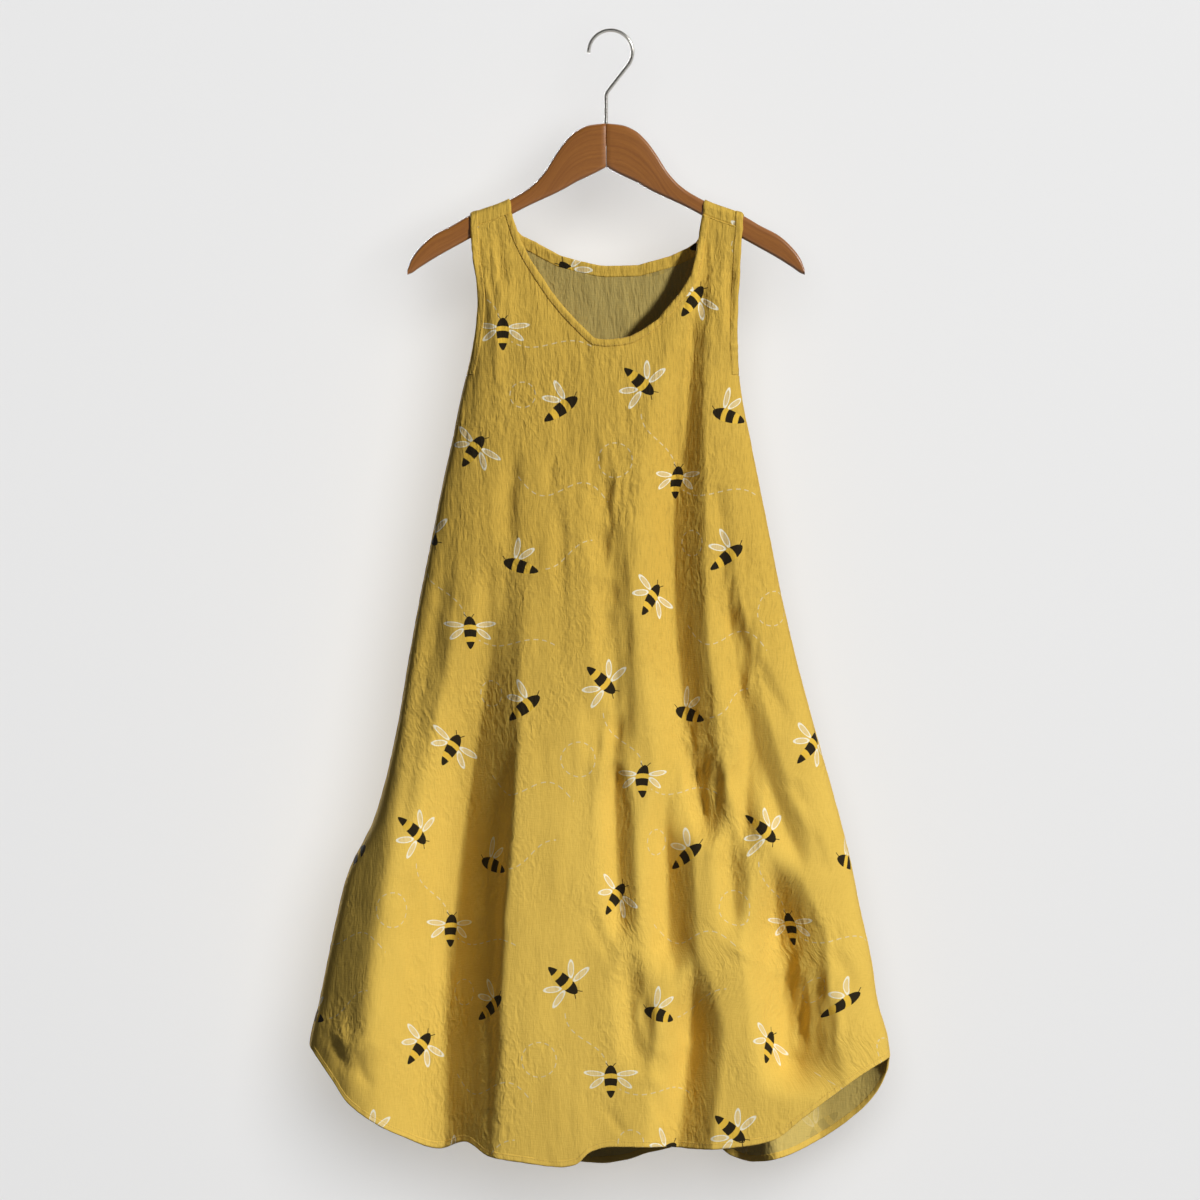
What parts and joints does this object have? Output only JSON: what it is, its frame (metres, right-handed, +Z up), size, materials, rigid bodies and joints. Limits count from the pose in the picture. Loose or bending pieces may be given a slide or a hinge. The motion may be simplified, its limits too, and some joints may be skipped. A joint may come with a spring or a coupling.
{
  "type": "sleeveless tank dress on a wooden clothes hanger",
  "caption": "Sleeveless A-line tank dress with a V neck and a curved shirt-tail hem, hanging by its straps from a wooden hanger with a wire hook.",
  "frame": {"origin": "inside top of the hook's arc, where a rail carries the hanger", "axes": "+Z up; the dress's front faces -Y; +X is to the right of a viewer who faces the front"},
  "size_m": [0.6397, 0.1162, 1.2544],
  "materials": {
    "cloth": "crinkled mustard cotton and linen, matt, printed with small bees and dashed trails",
    "wood": "reddish brown beech under a thin satin varnish",
    "steel": "plain drawn steel wire"
  },
  "bodies": {
    "root": {"front_panel": "cloth", "back_panel": "cloth", "neck_binding_front": "cloth", "neck_facing_back": "cloth", "armhole_binding_left": "cloth", "armhole_binding_right": "cloth", "hanger_left": "wood", "hanger_right": "wood", "hook": "steel"}
  },
  "joints": []
}
